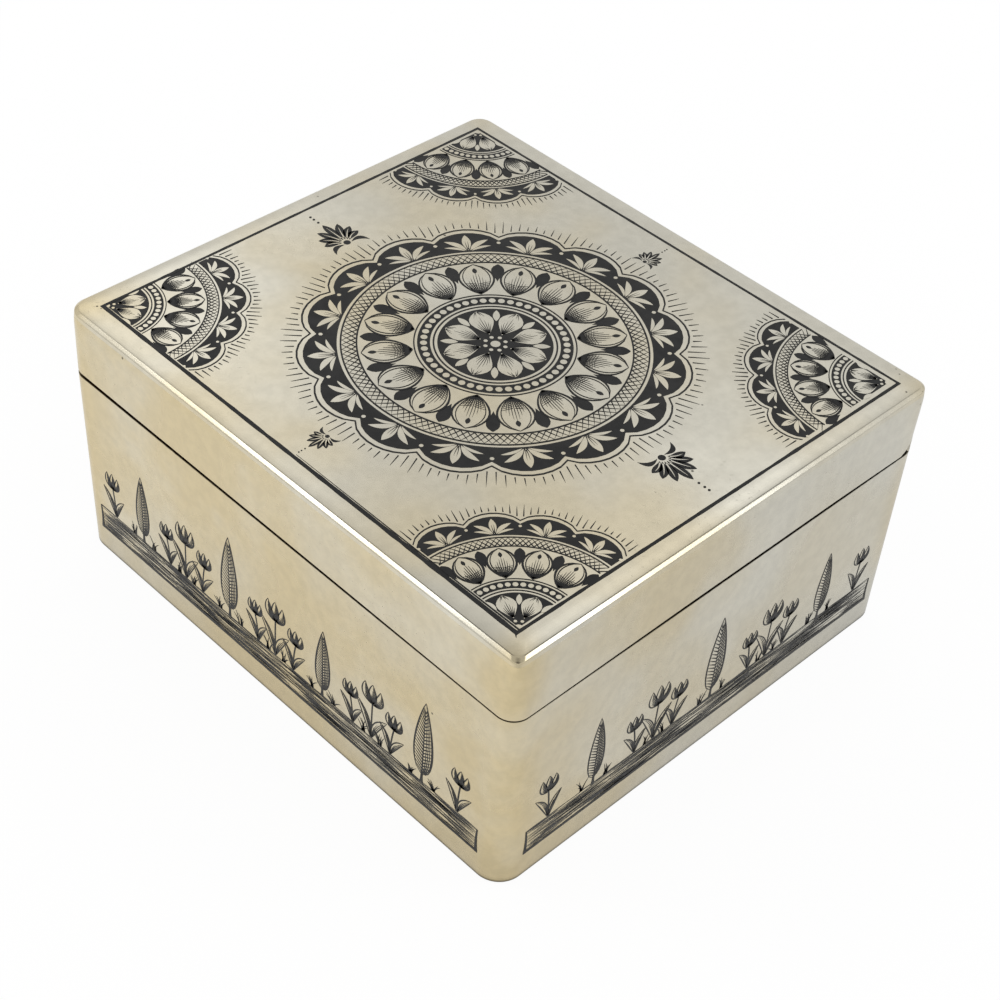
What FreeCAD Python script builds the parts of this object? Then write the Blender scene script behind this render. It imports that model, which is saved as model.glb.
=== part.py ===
# Silver table box with a hinged lid, niello lines and a cedar lining.
# Millimetres. The origin is the middle of the underside, +Z is up,
# +X runs along the front and +Y points to the hinge at the back.

import FreeCAD
import Part

import math
import os

# Overall sizes
BOX_WIDTH = 100.0  # along the front
BOX_DEPTH = 88.7  # front to back
BODY_HEIGHT = 35.5  # underside to the body's rim
LID_HEIGHT = 12.3  # the body's rim to the top of the lid
CORNER_RADIUS = 4.5  # upright corners, outside

# Silver sheet
WALL = 0.9  # bands that form the sides of body and lid
BASE_PLATE = 0.9  # soldered under the body's band
LID_PLATE = 1.2  # soldered on the lid's band
TOP_EDGE_RADIUS = 1.0  # filed edge round the lid's top
BASE_EDGE_RADIUS = 0.5  # filed edge round the underside
PARTING_GAP = 0.25  # between the body's rim and the lid
PARTING_CHAMFER = 0.15  # broken edges on both sides of that gap
FILLET_SHARE = 0.9  # most of a sheet's thickness that its filed edge may take

# Hinge
BARREL_RADIUS = 1.4  # outside of the knuckles
BARREL_INSET = 0.05  # the barrel lies this far inside the back face
SEAT_DEPTH = 0.25  # how far a knuckle sinks into the rim or the bevel that carries it
SWING_CLEARANCE = 0.12  # round a knuckle that turns in its neighbour's groove
PIN_RADIUS = 0.5
PIN_CLEARANCE = 0.03  # between the pin and the knuckles' bore
LID_KNUCKLES = 3  # the body has one more
KNUCKLE_GAP = 0.15  # between the ends of neighbouring knuckles
END_PLUG = 6.0  # from the side of the box to the end of the pin
BODY_BEARER_HEIGHT = 3.5  # strip inside the body that stiffens the rim under the barrel
BEARER_LAND = 1.0  # what the lid's strip keeps inside its bevel

# Cedar lining
LINING = 3.0  # thickness of floor and sides
LINING_GAP = 0.3  # between the lining and the silver
LIP = 2.0  # the front and the ends stand this far above the rim
LIP_CHAMFER = 0.8  # lead-in round the top of the lip
LIP_CLEARANCE = 0.5  # between the ends of the lip and the lid's swinging strip
DIVIDER = 2.5  # thickness of the partition
DIVIDER_DROP = 8.0  # its top lies this far below the rim
DIVIDER_TONGUE = 1.0  # how far it enters the front and back boards
DIVIDER_FIT = 0.1  # play of the partition in its grooves

# Niello lines, set flush in channels
INLAY_DEPTH = 0.35
LINE_WIDTH = 0.6
BORDER_FRONT = 4.0  # from the front edge of the lid to the border's outside
BORDER_BACK = 3.8
BORDER_LEFT = 3.3
BORDER_RIGHT = 4.0
GROUND_RISE = 4.8  # from the underside to the ground line on each side
GROUND_END_RISE = 5.0  # height of the upturned ends of that line
GROUND_MARGIN = 0.2  # from the round corner to those ends

# Worked out from the sizes above
HALF_WIDTH = BOX_WIDTH / 2
HALF_DEPTH = BOX_DEPTH / 2
BOX_HEIGHT = BODY_HEIGHT + LID_HEIGHT
LID_BOTTOM = BODY_HEIGHT + PARTING_GAP
LID_CEILING = BOX_HEIGHT - LID_PLATE
LINING_INSET = WALL + LINING_GAP
FLOOR_TOP = BASE_PLATE + LINING
LIP_TOP = BODY_HEIGHT + LIP
BOARD_INSET = LINING_INSET + LINING  # inner face of the boards, from the outside
DIVIDER_TOP = BODY_HEIGHT - DIVIDER_DROP
AXIS_INSET = BARREL_RADIUS + BARREL_INSET
AXIS_RISE = BARREL_RADIUS - SEAT_DEPTH
AXIS_Y = HALF_DEPTH - AXIS_INSET
AXIS_Z = BODY_HEIGHT + AXIS_RISE
# The lid's rear edge is cut off at 45 degrees, as deep as the barrel needs.
BEVEL = AXIS_INSET + AXIS_RISE + math.sqrt(2) * (BARREL_RADIUS - SEAT_DEPTH)
LID_BEARER_INSET = BEVEL + BEARER_LAND
STATIONS = 2 * LID_KNUCKLES + 1
STATION = BOX_WIDTH / STATIONS
# The inner lower edge of the lid's strip swings on this radius about the hinge.
BEARER_SWING = math.hypot(LID_BEARER_INSET - AXIS_INSET, AXIS_RISE - PARTING_GAP)
LIP_END = AXIS_Y - BEARER_SWING - LIP_CLEARANCE
RUN_OUT = CORNER_RADIUS  # how far a cutter passes the surface that it opens
QUARTER_TURN = 90  # degrees from one side of the box to the next

# How exactly an edge has to stand upright or lie in a plane to be picked
NEAR = 1e-6


def block(x0, x1, y0, y1, z0, z1):
    """Plain block between two corners."""
    return Part.makeBox(x1 - x0, y1 - y0, z1 - z0, FreeCAD.Vector(x0, y0, z0))


def upright_edges(solid):
    """Edges that run parallel to Z."""
    return [e for e in solid.Edges if max(e.BoundBox.XLength, e.BoundBox.YLength) < NEAR]


def level_edges(solid, z):
    """Edges that lie in the level plane at z."""
    return [e for e in solid.Edges if max(abs(e.BoundBox.ZMin - z), abs(e.BoundBox.ZMax - z)) < NEAR]


def plan_block(inset, z0, z1):
    """The box's plan with its round corners, moved inwards by inset and raised from z0 to z1."""
    half_x = HALF_WIDTH - inset
    half_y = HALF_DEPTH - inset
    solid = block(-half_x, half_x, -half_y, half_y, z0, z1)
    return solid.makeFillet(CORNER_RADIUS - inset, upright_edges(solid))


def band(z0, z1, parting_z):
    """Wrapped silver band from z0 to z1, with a broken outer edge at the parting line."""
    outside = plan_block(0, z0, z1)
    outside = outside.makeChamfer(PARTING_CHAMFER, level_edges(outside, parting_z))
    return outside.cut(plan_block(WALL, z0 - RUN_OUT, z1 + RUN_OUT))


def rod_along_hinge(radius, x0, x1):
    """Round rod on the hinge axis."""
    start = FreeCAD.Vector(x0, AXIS_Y, AXIS_Z)
    return Part.makeCylinder(radius, x1 - x0, start, FreeCAD.Vector(1, 0, 0))


def filed_flush(solid):
    """What is left of a hinge piece once its end is filed to the box's round corner."""
    return solid.common(plan_block(0, 0, BOX_HEIGHT))


def is_lid_station(index):
    """The knuckles alternate, and both ends of the row belong to the body."""
    return index % 2 == 1


def station_span(index):
    """Start and end along X of one knuckle's place in the row."""
    start = -HALF_WIDTH + index * STATION
    return start, start + STATION


def hinge_groove(in_lid):
    """Cutters for the barrel's groove: a snug seat for own knuckles, room to turn for the others."""
    cutters = []
    for index in range(STATIONS):
        start, end = station_span(index)
        if index == 0:
            start -= RUN_OUT
        if index == STATIONS - 1:
            end += RUN_OUT
        snug = is_lid_station(index) == in_lid
        radius = BARREL_RADIUS if snug else BARREL_RADIUS + SWING_CLEARANCE
        cutters.append(rod_along_hinge(radius, start, end))
    return cutters


def rear_bevel():
    """Three-sided prism that takes the lid's rear lower edge off at 45 degrees."""
    x = HALF_WIDTH + RUN_OUT
    inner = FreeCAD.Vector(-x, HALF_DEPTH - BEVEL - RUN_OUT, BODY_HEIGHT - RUN_OUT)
    outer = FreeCAD.Vector(-x, HALF_DEPTH + RUN_OUT, BODY_HEIGHT - RUN_OUT)
    upper = FreeCAD.Vector(-x, HALF_DEPTH + RUN_OUT, BODY_HEIGHT + BEVEL + RUN_OUT)
    triangle = Part.Face(Part.makePolygon([inner, outer, upper, inner]))
    return triangle.extrude(FreeCAD.Vector(2 * x, 0, 0))


def rear_strip(inner_inset, z0, z1):
    """Strip along the inside of the rear wall, fitted into its round corners."""
    strip = block(-HALF_WIDTH, HALF_WIDTH, HALF_DEPTH - inner_inset, HALF_DEPTH, z0, z1)
    return strip.common(plan_block(WALL, z0, z1))


def knuckle(index):
    """One tube of the hinge barrel."""
    start, end = station_span(index)
    start += KNUCKLE_GAP / 2
    end -= KNUCKLE_GAP / 2
    tube = rod_along_hinge(BARREL_RADIUS, start, end)
    return filed_flush(tube.cut(rod_along_hinge(PIN_RADIUS + PIN_CLEARANCE, start, end)))


def hinge_pieces():
    """Pin, knuckles and the plugs that close the barrel's ends."""
    pin_half = HALF_WIDTH - END_PLUG
    pieces = {"hinge_pin": rod_along_hinge(PIN_RADIUS, -pin_half, pin_half)}
    bore = PIN_RADIUS + PIN_CLEARANCE
    pieces["hinge_plug_left"] = filed_flush(rod_along_hinge(bore, -HALF_WIDTH, -pin_half))
    pieces["hinge_plug_right"] = filed_flush(rod_along_hinge(bore, pin_half, HALF_WIDTH))
    for index in range(STATIONS):
        owner = "lid" if is_lid_station(index) else "body"
        pieces[f"{owner}_knuckle_{index // 2 + 1}"] = knuckle(index)
    return pieces


def lid_border():
    """Square-cornered niello line round the lid's top."""
    left = -HALF_WIDTH + BORDER_LEFT
    right = HALF_WIDTH - BORDER_RIGHT
    front = -HALF_DEPTH + BORDER_FRONT
    back = HALF_DEPTH - BORDER_BACK
    bottom = BOX_HEIGHT - INLAY_DEPTH
    inner = (left + LINE_WIDTH, right - LINE_WIDTH, front + LINE_WIDTH, back - LINE_WIDTH)
    frame = block(left, right, front, back, bottom, BOX_HEIGHT)
    return frame.cut(block(*inner, bottom, BOX_HEIGHT))


def ground_line(half_length, face):
    """Niello ground line with upturned ends, on the face at y = -face."""
    top = GROUND_RISE + GROUND_END_RISE
    inner = half_length - LINE_WIDTH
    line = block(-half_length, half_length, -face, -face + INLAY_DEPTH, GROUND_RISE, top)
    field = block(-inner, inner, -face, -face + INLAY_DEPTH, GROUND_RISE + LINE_WIDTH, top)
    return line.cut(field)


def turned(solid, quarters):
    """A copy turned about the Z axis by whole quarter turns."""
    copy = solid.copy()
    copy.rotate(FreeCAD.Vector(0, 0, 0), FreeCAD.Vector(0, 0, 1), quarters * QUARTER_TURN)
    return copy


def ground_lines():
    """One ground line for each side of the body."""
    end_inset = CORNER_RADIUS + GROUND_MARGIN
    front = ground_line(HALF_WIDTH - end_inset, HALF_DEPTH)
    right = ground_line(HALF_DEPTH - end_inset, HALF_WIDTH)
    return {
        "niello_front": front,
        "niello_right": turned(right, 1),
        "niello_back": turned(front, 2),
        "niello_left": turned(right, 3),
    }


def body_shell(inlays):
    """Band, base plate and hinge strip of the body."""
    groove = hinge_groove(in_lid=False)
    wall = band(BASE_PLATE, BODY_HEIGHT, BODY_HEIGHT).cut(groove + inlays)
    base = plan_block(0, 0, BASE_PLATE)
    base_edge = min(BASE_EDGE_RADIUS, FILLET_SHARE * BASE_PLATE)
    base = base.makeFillet(base_edge, level_edges(base, 0))
    bearer = rear_strip(BOARD_INSET, BODY_HEIGHT - BODY_BEARER_HEIGHT, BODY_HEIGHT).cut(groove)
    return {"body_wall": wall, "base_plate": base, "body_hinge_bearer": bearer}


def lid_shell(border):
    """Band, top plate and hinge strip of the lid."""
    cutters = hinge_groove(in_lid=True) + [rear_bevel()]
    rim = band(LID_BOTTOM, LID_CEILING, LID_BOTTOM).cut(cutters)
    top = plan_block(0, LID_CEILING, BOX_HEIGHT)
    top_edge = min(TOP_EDGE_RADIUS, FILLET_SHARE * LID_PLATE)
    top = top.makeFillet(top_edge, level_edges(top, BOX_HEIGHT)).cut(border)
    bearer = rear_strip(LID_BEARER_INSET, LID_BOTTOM, BODY_HEIGHT + BEVEL).cut(cutters)
    return {"lid_rim": rim, "lid_top": top, "lid_hinge_bearer": bearer}


def divider(play):
    """Partition between the front and back boards, grown by play where it makes a groove."""
    half = DIVIDER / 2 + play
    reach = HALF_DEPTH - BOARD_INSET + DIVIDER_TONGUE + play
    return block(-half, half, -reach, reach, FLOOR_TOP, DIVIDER_TOP + play)


def lining():
    """Cedar floor, four boards and the partition."""
    room = plan_block(LINING_INSET, FLOOR_TOP, LIP_TOP)
    room = room.makeChamfer(LIP_CHAMFER, level_edges(room, LIP_TOP))
    inner_x = HALF_WIDTH - BOARD_INSET
    inner_y = HALF_DEPTH - BOARD_INSET
    back_top = BODY_HEIGHT - BODY_BEARER_HEIGHT
    groove = divider(DIVIDER_FIT)
    front = block(-HALF_WIDTH, HALF_WIDTH, -HALF_DEPTH, -inner_y, FLOOR_TOP, LIP_TOP)
    back = block(-HALF_WIDTH, HALF_WIDTH, inner_y, HALF_DEPTH, FLOOR_TOP, back_top)
    end = block(inner_x, HALF_WIDTH, -inner_y, inner_y, FLOOR_TOP, LIP_TOP)
    end = end.cut(block(inner_x, HALF_WIDTH, LIP_END, inner_y, BODY_HEIGHT, LIP_TOP)).common(room)
    left = end.mirror(FreeCAD.Vector(0, 0, 0), FreeCAD.Vector(1, 0, 0))
    return {
        "lining_floor": plan_block(LINING_INSET, BASE_PLATE, FLOOR_TOP),
        "lining_front": front.common(room).cut(groove),
        "lining_back": back.common(room).cut(groove),
        "lining_right": end,
        "lining_left": left,
        "lining_divider": divider(0),
    }


def box_pieces():
    """Every piece of the box by its node name."""
    border = lid_border()
    lines = ground_lines()
    pieces = {"niello_lid_border": border}
    pieces.update(lines)
    pieces.update(body_shell(list(lines.values())))
    pieces.update(lid_shell(border))
    pieces.update(hinge_pieces())
    pieces.update(lining())
    return pieces


def main():
    os.makedirs("parts", exist_ok=True)
    for name, shape in box_pieces().items():
        if not shape.isValid() or not shape.Solids:
            raise RuntimeError(f"{name} is not a valid solid")
        shape.exportStep(os.path.join("parts", f"{name}.step"))
        print(f"{name}: {len(shape.Solids)} solid, {shape.Volume:.1f} mm3")


main()
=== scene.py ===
import math

import bpy
import numpy as np
from mathutils import Euler, Matrix, Vector


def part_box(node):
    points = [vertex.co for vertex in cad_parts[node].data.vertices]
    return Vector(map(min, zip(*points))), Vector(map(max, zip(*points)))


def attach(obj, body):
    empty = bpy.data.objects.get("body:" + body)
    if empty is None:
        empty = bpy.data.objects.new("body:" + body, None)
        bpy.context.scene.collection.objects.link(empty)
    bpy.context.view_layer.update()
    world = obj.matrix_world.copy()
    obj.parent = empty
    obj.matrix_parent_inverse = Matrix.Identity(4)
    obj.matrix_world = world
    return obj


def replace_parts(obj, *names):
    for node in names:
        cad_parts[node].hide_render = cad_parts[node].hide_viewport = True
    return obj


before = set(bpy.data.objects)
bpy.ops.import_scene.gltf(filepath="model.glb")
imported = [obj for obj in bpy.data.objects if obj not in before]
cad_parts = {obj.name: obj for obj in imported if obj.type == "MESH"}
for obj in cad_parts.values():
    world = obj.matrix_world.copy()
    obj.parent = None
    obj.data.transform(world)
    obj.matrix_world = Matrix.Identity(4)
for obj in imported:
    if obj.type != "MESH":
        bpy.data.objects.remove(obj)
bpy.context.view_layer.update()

# The script counts in millimetres and puts metres into Blender.
MM = 0.001
TURN = 2 * math.pi


def node_box(name):
    """Lowest and highest corner of a CAD node, in millimetres."""
    low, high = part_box(name)
    return np.array(low) / MM, np.array(high) / MM


# Sizes read from the frame
BODY_HIGH = node_box("body_wall")[1]
RIM_LOW, RIM_HIGH = node_box("lid_rim")
TOP_LOW, TOP_HIGH = node_box("lid_top")
BASE_LOW, BASE_HIGH = node_box("base_plate")
BORDER_LOW, BORDER_HIGH = node_box("niello_lid_border")
KNUCKLE_LOW, KNUCKLE_HIGH = node_box("lid_knuckle_1")
HALF_X = BODY_HIGH[0]
HALF_Y = BODY_HIGH[1]
WALL = HALF_Y - node_box("body_hinge_bearer")[1][1]
BEVEL = node_box("lid_hinge_bearer")[1][2] - BODY_HIGH[2]
AXIS_Y = (KNUCKLE_LOW[1] + KNUCKLE_HIGH[1]) / 2
AXIS_Z = (KNUCKLE_LOW[2] + KNUCKLE_HIGH[2]) / 2
BARREL = (KNUCKLE_HIGH[1] - KNUCKLE_LOW[1]) / 2

# Silver skins
CORNER_HEIGHTS = (BASE_LOW[2], BODY_HIGH[2], TOP_HIGH[2])
# Radii of the upright corners at those heights: right rear, left rear, left front, right front
CORNER_RADII = np.array([(4.4, 4.4, 4.4, 4.4), (3.3, 3.3, 3.3, 3.1), (2.6, 3.2, 3.7, 1.4)])
LEAST_CORNER = 1.4  # no line further in has a smaller radius
RECESS = 0.05  # silver lies this far under the CAD faces, so that the niello ends on them
ROLL = 0.16  # the lid's margin sinks by this much towards its edge
ROLL_WIDTH = 2.4
TOP_FACET = 0.61  # filed facet round the lid's top, seen from above
FACET_DROP = 0.42
FACET_SOFT = 0.12  # rounding of that facet's two edges
SHOULDER = 0.36  # the lid's front and right sides lean in by this much below the facet
SHOULDER_HEIGHT = 2.0
CURVE_SOFT = 0.05  # rounding between the short straights of a curve
BASE_FACET = 0.15
BASE_SOFT = 0.04
HINGE_SLIT = 0.2  # the lid's slanted rear edge stands off the barrel by this much more than its bevel
SEAM_SOFT = 0.012  # broken edges where a plate is soldered to its band
RIM_SOFT = 0.06  # broken edges at the parting line
GROOVE_DROP = 0.3  # the rear rim's inner edge, filed down for the barrel
PARTING_SWEEP = 0.30  # the lid's lower edge is filed up towards the front left by this much
SWEEP_POWER = 1.5  # how late that starts on the way to the left
# It also stands off by this much more all round, twice as much on the right, but not at the hinge
PARTING_WEAR = 0.15
RIGHT_POWER = 4  # how late the wear on the right starts
WEAR_FADE = 20.0  # where the wear fades out towards the back
CORNER_FADE = 35.0  # and towards the right front corner
CAP_INSET = 5.0  # where the flat of a plate starts
BORE = 0.53  # inside of the knuckles
KNUCKLE_SOFT = 0.12
# Signs of the corners, in the order of their radii
QUARTERS = ((1, 1), (-1, 1), (-1, -1), (1, -1))
ARC_STEPS = 20
SIDE_STEPS = 26
ROUND_STEPS = 5
ROLL_STEPS = 7
SHOULDER_STEPS = 6
BARREL_STEPS = 40

# Niello, level by level above the silver
CUT_DEPTH = 0.05
GROUND_LEVEL = 0.006  # black grounds and lines on the silver
RESERVE_LEVEL = 0.020  # silver left standing in a black ground
LINE_LEVEL = 0.034  # lines on that silver
LIFT = 0.002  # between strokes that may cross
LIFTS = 6
TINY = 1e-9  # keeps a division from failing
LEAF_ENDS = (1e-4, 1 - 1e-4)  # shares along a leaf, between which its width is taken
FILL_ENDS = (0.01, 0.99)  # where a filled leaf starts and ends
SWELL_ENDS = (0.03, 0.97)
SWELL_POWER = 0.5
FADE_END = 0.97
FADE_POWER = 0.6
BEAD_END = 0.12  # angle left out at both ends of a bead


# Meshes


def grid_quads(rows, columns, wrap_rows):
    """Quads of a grid whose columns close on themselves and whose rows close if asked."""
    row = np.arange(rows if wrap_rows else rows - 1)[:, None]
    column = np.arange(columns)[None, :]
    next_row = (row + 1) % rows
    next_column = (column + 1) % columns
    quads = [row * columns + column, row * columns + next_column,
             next_row * columns + next_column, next_row * columns + column]
    return np.stack(np.broadcast_arrays(*quads), axis=-1).reshape(-1, 4)


def make_piece(name, points, faces, material, body, smooth=True):
    """Mesh object from points in millimetres and a list of face arrays, each with its own corner count."""
    mesh = bpy.data.meshes.new(name)
    points = np.asarray(points, dtype=float).reshape(-1, 3) * MM
    corners = np.concatenate([np.asarray(f).ravel() for f in faces]).astype(np.int32)
    totals = np.concatenate([np.full(len(f), np.shape(f)[1]) for f in faces]).astype(np.int32)
    starts = np.concatenate([[0], np.cumsum(totals)[:-1]]).astype(np.int32)
    mesh.vertices.add(len(points))
    mesh.vertices.foreach_set("co", points.ravel())
    mesh.loops.add(len(corners))
    mesh.loops.foreach_set("vertex_index", corners)
    mesh.polygons.add(len(totals))
    mesh.polygons.foreach_set("loop_start", starts)
    mesh.polygons.foreach_set("use_smooth", np.full(len(totals), smooth))
    mesh.update(calc_edges=True)
    mesh.validate()
    piece = bpy.data.objects.new(name, mesh)
    bpy.context.scene.collection.objects.link(piece)
    mesh.materials.append(material)
    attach(piece, body)
    return piece


def corner_at(height):
    """Outer radii of the four upright corners at a height: straight between base, parting line and top."""
    return np.array([np.interp(height, CORNER_HEIGHTS, radii) for radii in CORNER_RADII.T])


def outline(inset, height):
    """Plan of the box at a height, moved inwards: four quarter arcs, joined by runs that are divided more
    finely towards the arcs, by a cosine."""
    radii = np.maximum(corner_at(height) - inset, LEAST_CORNER)
    arc = np.linspace(0, TURN / 4, ARC_STEPS + 1)
    run = (1 - np.cos(math.pi * np.linspace(0, 1, SIDE_STEPS + 1)))[1:-1, None] / 2
    arcs = []
    for quarter, signs in enumerate(QUARTERS):
        radius = radii[quarter]
        reach = np.array([HALF_X, HALF_Y]) - inset - radius
        angle = arc + quarter * TURN / 4
        arcs.append(reach * signs + radius * np.column_stack([np.cos(angle), np.sin(angle)]))
    parts = []
    for here, after in zip(arcs, arcs[1:] + arcs[:1]):
        parts.append(here)
        parts.append(here[-1] * (1 - run) + after[0] * run)
    return np.concatenate(parts)


def soft_profile(corners, radii):
    """Profile with every corner rounded: a parabola between points one radius before and after the corner,
    and a support point one more radius away on each side that keeps the flats flat."""
    corners = np.array(corners, dtype=float)
    step = np.linspace(0, 1, ROUND_STEPS)[:, None]
    parts = []
    neighbours = zip(np.roll(corners, 1, axis=0), corners, np.roll(corners, -1, axis=0), radii)
    for before, corner, after, radius in neighbours:
        back = (before - corner) / np.linalg.norm(before - corner) * radius
        ahead = (after - corner) / np.linalg.norm(after - corner) * radius
        parabola = ((1 - step) ** 2 * (corner + back) + 2 * step * (1 - step) * corner
                    + step ** 2 * (corner + ahead))
        parts.append(np.concatenate([[corner + 2 * back], parabola, [corner + 2 * ahead]]))
    return np.concatenate(parts)


def carried_round(profile):
    """Profile of inset and height carried round the plan: each row is the outline at one inset and height."""
    rows = [outline(inset, height) for inset, height in profile]
    heights = np.broadcast_to(profile[:, 1][:, None], (len(profile), len(rows[0])))
    return np.dstack([np.stack(rows), heights])


def ring_skin(name, grid, material, body):
    """Closed ring from a grid whose rows follow the closed profile and whose columns go round the plan."""
    rows, columns = grid.shape[:2]
    return make_piece(name, grid, [grid_quads(rows, columns, True)], material, body)


def plate_skin(name, grid, material, body):
    """Plate from a grid whose first and last rows lie on flats, each closed by one level face."""
    rows, columns = grid.shape[:2]
    first = np.arange(columns)[None, ::-1]
    last = (rows - 1) * columns + np.arange(columns)[None, :]
    return make_piece(name, grid, [grid_quads(rows, columns, False), first, last], material, body)


def body_skin(material):
    """The body's band: a rounded closed profile of the sheet, with the rear rim's inner edge filed down."""
    foot = BASE_HIGH[2]
    rim = BODY_HIGH[2]
    corners = [(RECESS, foot), (RECESS, rim), (WALL, rim), (WALL, foot)]
    profile = soft_profile(corners, [SEAM_SOFT, RIM_SOFT, SEAM_SOFT, SEAM_SOFT])
    grid = carried_round(profile)
    inner_top = (profile[:, 0] > WALL / 2) & (profile[:, 1] > rim - 2 * WALL)
    at_back = (grid[..., 1] > HALF_Y - 2 * WALL) & (np.abs(grid[..., 0]) < HALF_X - CORNER_RADII[1].max())
    grid[..., 2] -= np.where(inner_top[:, None] & at_back, GROOVE_DROP, 0)
    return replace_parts(ring_skin("body_band", grid, material, "body"), "body_wall")


def base_skin(material):
    """The base plate: a level face below, a filed facet, a short upright edge and a level face above."""
    low = BASE_LOW[2]
    high = BASE_HIGH[2]
    corners = [(CAP_INSET, low), (BASE_FACET, low), (RECESS, low + BASE_FACET), (RECESS, high),
               (CAP_INSET, high)]
    profile = soft_profile(corners, [BASE_SOFT, BASE_SOFT, BASE_SOFT, SEAM_SOFT, BASE_SOFT])
    grid_profile = profile[ROUND_STEPS + 1:-ROUND_STEPS - 1]
    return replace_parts(plate_skin("base", carried_round(grid_profile), material, "body"), "base_plate")


LID_FLAT = TOP_HIGH[2] - RECESS
FACET_HIGH = LID_FLAT - ROLL
FACET_LOW = FACET_HIGH - FACET_DROP


def shoulder(height):
    """Inset of the lid's outer face: a parabola that starts below the facet and has leaned in fully at its
    foot."""
    share = np.clip((height - FACET_LOW) / SHOULDER_HEIGHT + 1, 0, 1)
    return RECESS + SHOULDER * share ** 2


def squared_up(grid):
    """Grid of the lid, moved out again at the left and the back, where the sides stand upright: by the lean
    at its height, times the share of the way from the middle."""
    lean = shoulder(grid[..., 2]) - RECESS
    to_left = np.clip(grid[..., 0] / HALF_X, -1, 0)
    to_back = np.clip(grid[..., 1] / HALF_Y, 0, 1)
    return grid + np.dstack([lean * to_left, lean * to_back, 0 * lean])


def lid_plate_skin(material):
    """The lid's top plate: a level face below, the top of the leaning side, a filed facet, a margin that rises
    by a parabola, and the level top."""
    low = TOP_LOW[2]
    side = np.array([low, FACET_LOW])
    roll = np.linspace(0, 1, ROLL_STEPS)
    crease = RECESS + SHOULDER + TOP_FACET
    corners = np.concatenate([
        [(CAP_INSET, low)],
        np.column_stack([shoulder(side), side]),
        np.column_stack([crease + ROLL_WIDTH * roll, LID_FLAT - ROLL * (1 - roll) ** 2]),
        [(CAP_INSET, LID_FLAT)],
    ])
    radii = np.full(len(corners), CURVE_SOFT)
    radii[1] = SEAM_SOFT
    radii[len(side):len(side) + 2] = FACET_SOFT
    profile = soft_profile(corners, radii)
    grid_profile = profile[ROUND_STEPS + 1:-ROUND_STEPS - 1]
    grid = squared_up(carried_round(grid_profile))
    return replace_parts(plate_skin("lid_plate", grid, material, "lid"), "lid_top")


def lid_lower_edge(x, y):
    """Height of the lid's lower edge: level, worn a little away from the back and the near corner and more on
    the right, filed up towards the front left, and cut off at 45 degrees behind the line where the bevel
    starts."""
    to_left = np.clip((HALF_X - x) / (2 * HALF_X), 0, 1)
    to_front = np.clip(-y / HALF_Y, 0, 1)
    from_corner = np.hypot(HALF_X - x, HALF_Y + y)
    worn = np.clip((HALF_Y - y) / WEAR_FADE, 0, 1) * np.clip(from_corner / CORNER_FADE, 0, 1)
    to_right = np.clip(x / HALF_X, 0, 1) ** RIGHT_POWER
    swept = PARTING_SWEEP * to_left ** SWEEP_POWER * to_front
    level = RIM_LOW[2] + swept + PARTING_WEAR * worn * (1 + to_right)
    return np.maximum(level, BODY_HIGH[2] + BEVEL + HINGE_SLIT - (HALF_Y - y))


def lid_band_skin(material):
    """The lid's band: its closed profile hangs from the top plate, leans in above, and its lower points follow
    the lower edge."""
    low = RIM_LOW[2]
    high = RIM_HIGH[2]
    side = np.linspace(FACET_LOW - SHOULDER_HEIGHT, high, SHOULDER_STEPS)
    corners = np.concatenate([
        [(RECESS, low)],
        np.column_stack([shoulder(side), side]),
        [(WALL, high), (WALL, low)],
    ])
    radii = np.full(len(corners), CURVE_SOFT)
    radii[[0, -1]] = RIM_SOFT
    radii[[-3, -2]] = SEAM_SOFT
    profile = soft_profile(corners, radii)
    grid = squared_up(carried_round(profile))
    hanging = (profile[:, 1] < (low + high) / 2)[:, None]
    grid[..., 2] += np.where(hanging, lid_lower_edge(grid[..., 0], grid[..., 1]) - low, 0)
    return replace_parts(ring_skin("lid_band", grid, material, "lid"), "lid_rim")


def corner_limit(y):
    """How far the plan reaches along X at this Y at the hinge's height: straight, then round the corner."""
    radius = corner_at(AXIS_Z)[0]
    into_corner = np.clip(np.abs(y) - (HALF_Y - radius), 0, radius)
    return HALF_X - radius + np.sqrt(radius ** 2 - into_corner ** 2) - RECESS


def knuckle_skin(node, material):
    """One hinge tube: a closed profile of radius and length turned about the hinge axis, its ends filed to
    the plan."""
    low, high = node_box(node)
    start = low[0]
    end = high[0]
    corners = [(BORE, start), (BARREL, start), (BARREL, end), (BORE, end)]
    profile = soft_profile(corners, [KNUCKLE_SOFT / 2, KNUCKLE_SOFT, KNUCKLE_SOFT, KNUCKLE_SOFT / 2])
    angle = np.linspace(0, TURN, BARREL_STEPS, endpoint=False)[None, :]
    radius = profile[:, 0][:, None]
    y = AXIS_Y + radius * np.cos(angle)
    z = AXIS_Z + radius * np.sin(angle)
    limit = corner_limit(y)
    x = np.clip(np.broadcast_to(profile[:, 1][:, None], y.shape), -limit, limit)
    grid = np.dstack([x, y, z])
    body = "lid" if node.startswith("lid") else "body"
    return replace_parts(ring_skin(node.replace("_", "_hinge_", 1), grid, material, body), node)


# Engraving


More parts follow.
